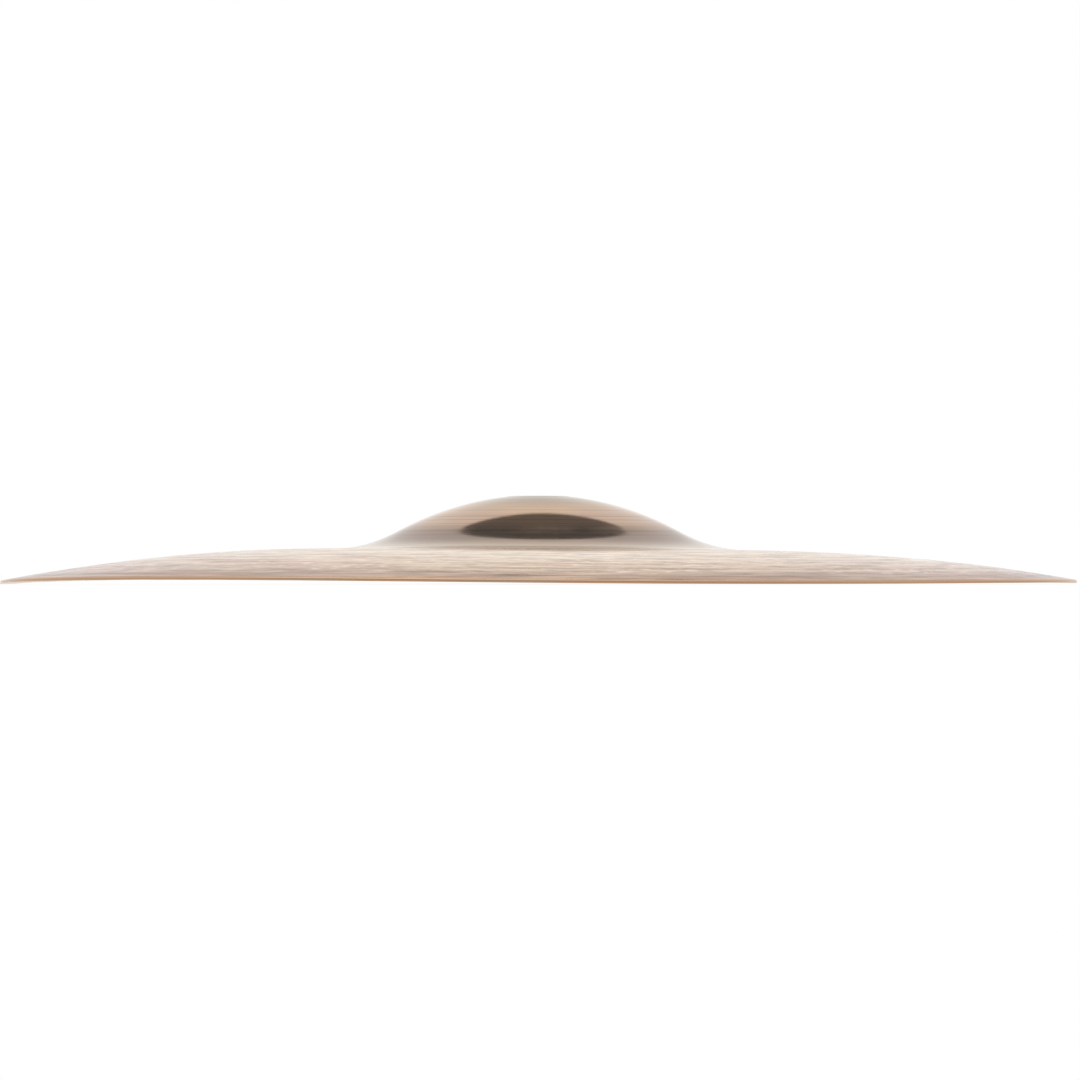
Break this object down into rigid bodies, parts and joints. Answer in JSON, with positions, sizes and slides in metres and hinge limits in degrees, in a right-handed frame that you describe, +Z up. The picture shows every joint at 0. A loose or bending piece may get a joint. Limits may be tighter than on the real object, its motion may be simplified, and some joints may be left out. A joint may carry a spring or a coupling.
{
  "type": "splash cymbal",
  "caption": "Thin round bronze cymbal with a shallow bow, a domed bell and a centre hole that drops over a stand's post; struck with a stick for a short accent.",
  "frame": {"origin": "centre of the plane that the rim rests on, on the axis of the disc", "axes": "+Z up along the axis of the disc, out through the bell; the disc is turned about +Z, so +X and +Y are any two square directions across it"},
  "size_m": [0.254, 0.254, 0.0204],
  "materials": {
    "lathed_bronze": "cast tin bronze, hammered, turned in fine rings and polished"
  },
  "bodies": {
    "root": {"cymbal_disc": "lathed_bronze"}
  },
  "joints": []
}
